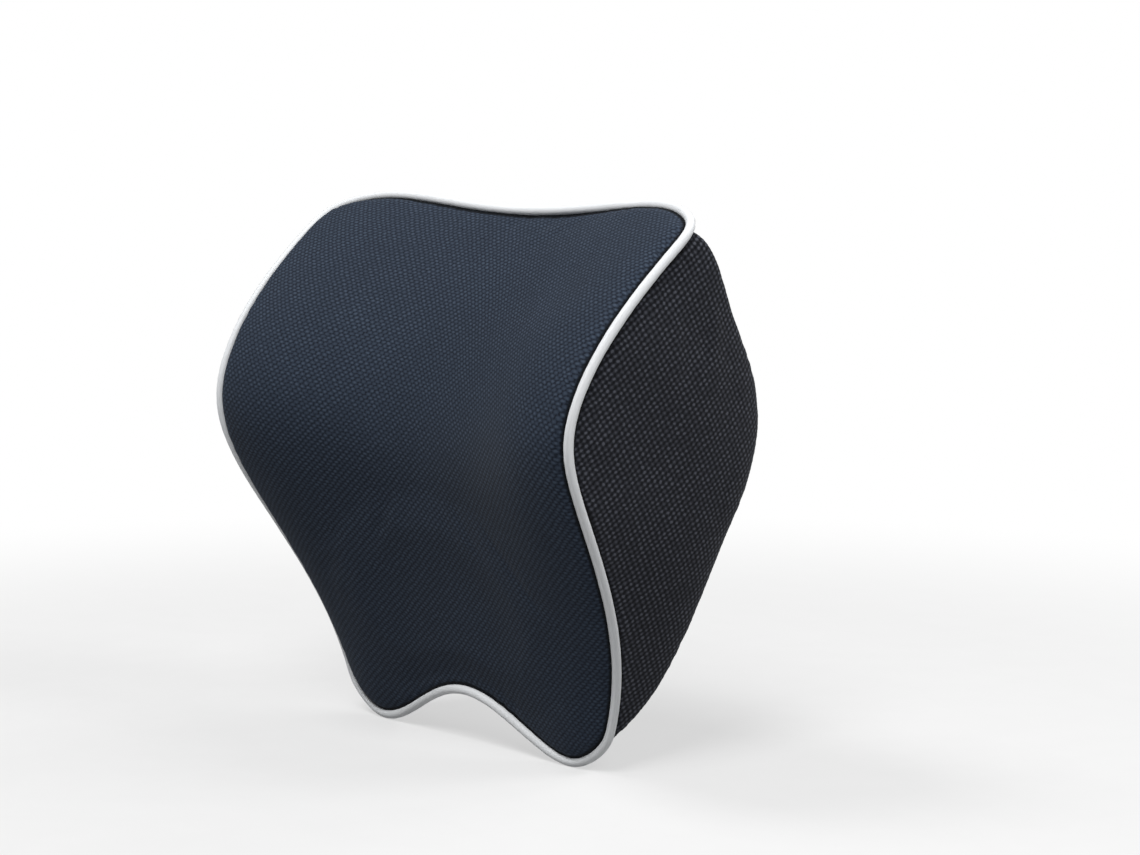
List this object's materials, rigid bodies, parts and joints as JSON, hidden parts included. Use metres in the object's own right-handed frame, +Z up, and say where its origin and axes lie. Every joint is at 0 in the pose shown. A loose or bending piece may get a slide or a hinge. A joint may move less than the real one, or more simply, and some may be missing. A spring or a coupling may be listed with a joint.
{
  "type": "car neck pillow",
  "caption": "Contoured foam neck pillow for a car headrest, with a head channel, a piped front panel, a zipped back and an elastic strap.",
  "frame": {"origin": "middle of the flat upper back face, on its cloth, where the pillow leans on the headrest", "axes": "+Z up, -Y to the front, towards the sitter's neck, X across; the pillow is symmetric about X = 0"},
  "size_m": [0.2922, 0.1396, 0.2775],
  "materials": {
    "foam": "matte memory foam",
    "front_knit": "fine navy-black knit",
    "air_mesh": "coarse black air mesh",
    "piping": "smooth white bias tape",
    "elastic": "ribbed woven elastic",
    "zip_tape": "woven tape",
    "zip_nylon": "satin nylon coil",
    "zip_metal": "black painted die-cast metal"
  },
  "bodies": {
    "pillow": {"foam_core": "foam", "front_panel": "front_knit", "left_side_panel": "air_mesh", "right_side_panel": "air_mesh", "back_panel_upper": "air_mesh", "back_panel_lower": "air_mesh", "piping": "piping", "elastic_strap": "elastic", "zip_tape_upper": "zip_tape", "zip_tape_lower": "zip_tape", "zip_coil": "zip_nylon", "zip_stop_left": "zip_metal", "zip_stop_right": "zip_metal"},
    "zip_slider": {"zip_slider": "zip_metal"},
    "zip_pull": {"zip_pull": "zip_metal"}
  },
  "joints": [
    {"name": "zip_slide", "type": "slide", "parent": "pillow", "child": "zip_slider", "axis": [-1, 0, 0], "range_m": [0, 0.214]},
    {"name": "pull_hinge", "type": "hinge", "parent": "zip_slider", "child": "zip_pull", "pos_m": [0.1071, 0.02275, -0.09099], "axis": [0, -0.3584, -0.9336], "range_deg": [0, 170]}
  ]
}
